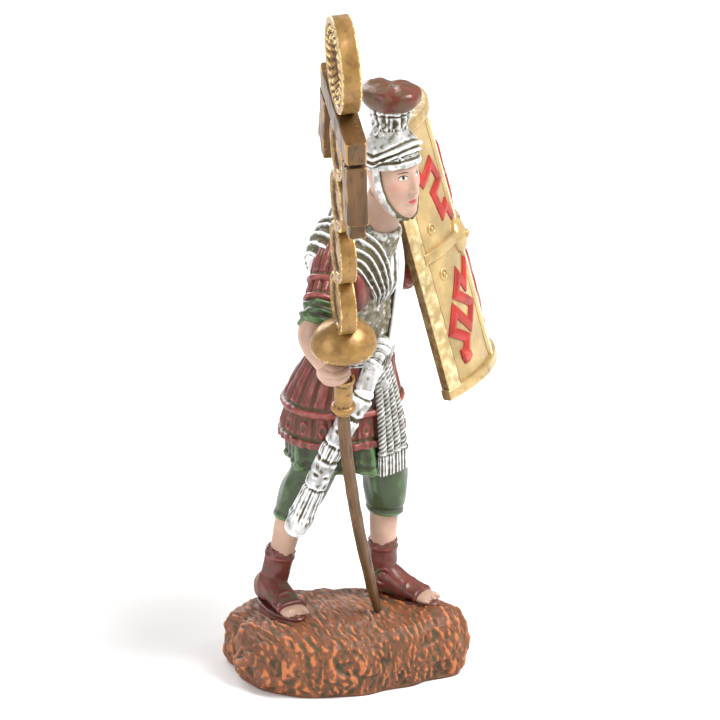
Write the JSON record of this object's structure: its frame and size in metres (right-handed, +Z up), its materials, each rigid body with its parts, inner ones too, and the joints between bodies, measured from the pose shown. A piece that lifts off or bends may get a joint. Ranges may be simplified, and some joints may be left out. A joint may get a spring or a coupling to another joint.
{
  "type": "roman soldier figurine",
  "caption": "Painted crib figurine of a Roman standard-bearer striding on an earth mound, with plumed helmet, banded armour, sword at the hip, tall gold standard and curved gold shield",
  "frame": {"origin": "on the flat underside of the mound, below the hips", "axes": "+Z up along the figure, -Y the way the figure faces, -X the figure's right hand with the standard"},
  "size_m": [0.0935, 0.0554, 0.1547],
  "materials": {
    "painted_casting": "cast resin, hand painted in red, green, silver and earth browns over a dark wash",
    "gold_painted_standard": "cast resin, gold paint over a dark brown wash",
    "gold_painted_shield": "cast resin, pale gold paint over a brown wash, bolts picked out in red"
  },
  "bodies": {
    "root": {"soldier": "painted_casting", "standard": "gold_painted_standard", "shield": "gold_painted_shield"}
  },
  "joints": []
}
